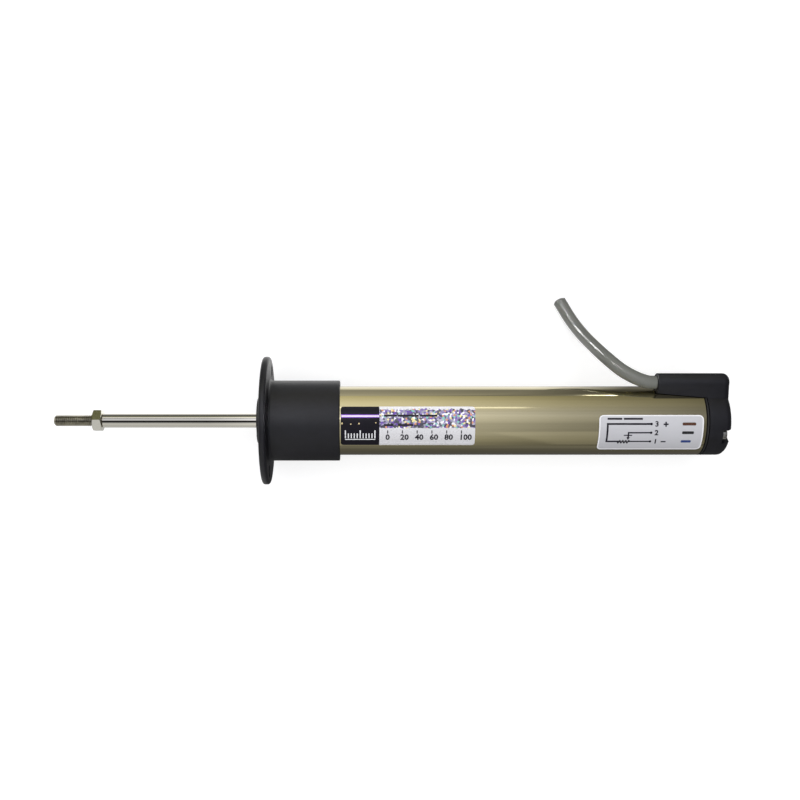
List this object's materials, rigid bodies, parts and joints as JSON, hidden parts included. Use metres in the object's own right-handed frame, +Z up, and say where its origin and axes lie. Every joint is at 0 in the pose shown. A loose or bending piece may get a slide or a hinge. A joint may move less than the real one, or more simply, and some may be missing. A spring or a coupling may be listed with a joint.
{
  "type": "potentiometer position transducer",
  "caption": "Tubular linear potentiometer with a mounting flange, a threaded pull rod with lock nut that slides in and out, and a rear cap with a side cable exit",
  "frame": {"origin": "on the rod's axis, in the plane of the flange's front face", "axes": "+X along the rod's axis from the rod's tip towards the cap, +Z up as the transducer lies in the picture, which looks straight down on it"},
  "size_m": [0.2331, 0.0672, 0.0446],
  "materials": {
    "black_plastic": "moulded, satin",
    "white_plastic": "moulded, low friction",
    "gold_aluminium": "anodised champagne gold, glossy",
    "steel": "ground and polished",
    "spring_steel": "spring finish",
    "screw_steel": "nickel plated",
    "black_screw": "black oxide",
    "bronze": "sintered bronze",
    "brass": "tinned brass",
    "contact_alloy": "precious-metal spring alloy",
    "rubber": "moulded rubber",
    "board": "glass-filled board",
    "carbon_track": "conductive plastic film",
    "silver_track": "printed conductive film",
    "grey_sheath": "PVC sheath, satin",
    "brown_sheath": "PVC insulation",
    "black_sheath": "PVC insulation",
    "blue_sheath": "PVC insulation",
    "label_film": "metallised film"
  },
  "bodies": {
    "housing": {"front_flange": "black_plastic", "rod_bush": "bronze", "wiper_seal": "rubber", "front_gasket": "rubber", "front_buffer": "rubber", "front_screw_1": "black_screw", "front_screw_2": "black_screw", "front_screw_3": "black_screw", "tube_housing": "gold_aluminium", "element_strip": "board", "resistive_track": "carbon_track", "collector_track": "silver_track", "terminal_pin_1": "brass", "terminal_pin_2": "brass", "terminal_pin_3": "brass", "rear_buffer": "rubber", "rear_gasket": "rubber", "rear_cap": "black_plastic", "rear_screw_1": "screw_steel", "rear_screw_2": "screw_steel", "rear_screw_3": "screw_steel", "brown_wire": "brown_sheath", "black_wire": "black_sheath", "blue_wire": "blue_sheath", "cable": "grey_sheath", "front_label": "label_film", "wiring_label": "label_film"},
    "carriage": {"slider_block": "white_plastic", "wiper_contact": "contact_alloy", "wiper_rivet_1": "brass", "wiper_rivet_2": "brass"},
    "rod": {"pull_rod": "steel", "lock_nut": "steel", "rod_clip_front": "spring_steel", "rod_clip_rear": "spring_steel"}
  },
  "joints": [
    {"name": "rod_stroke", "type": "slide", "parent": "housing", "child": "carriage", "axis": [-1, 0, 0], "range_m": [-0.05, 0.05]},
    {"name": "rod_spin", "type": "hinge", "parent": "carriage", "child": "rod", "pos_m": [0, 0, 0], "axis": [1, 0, 0], "continuous": true}
  ]
}
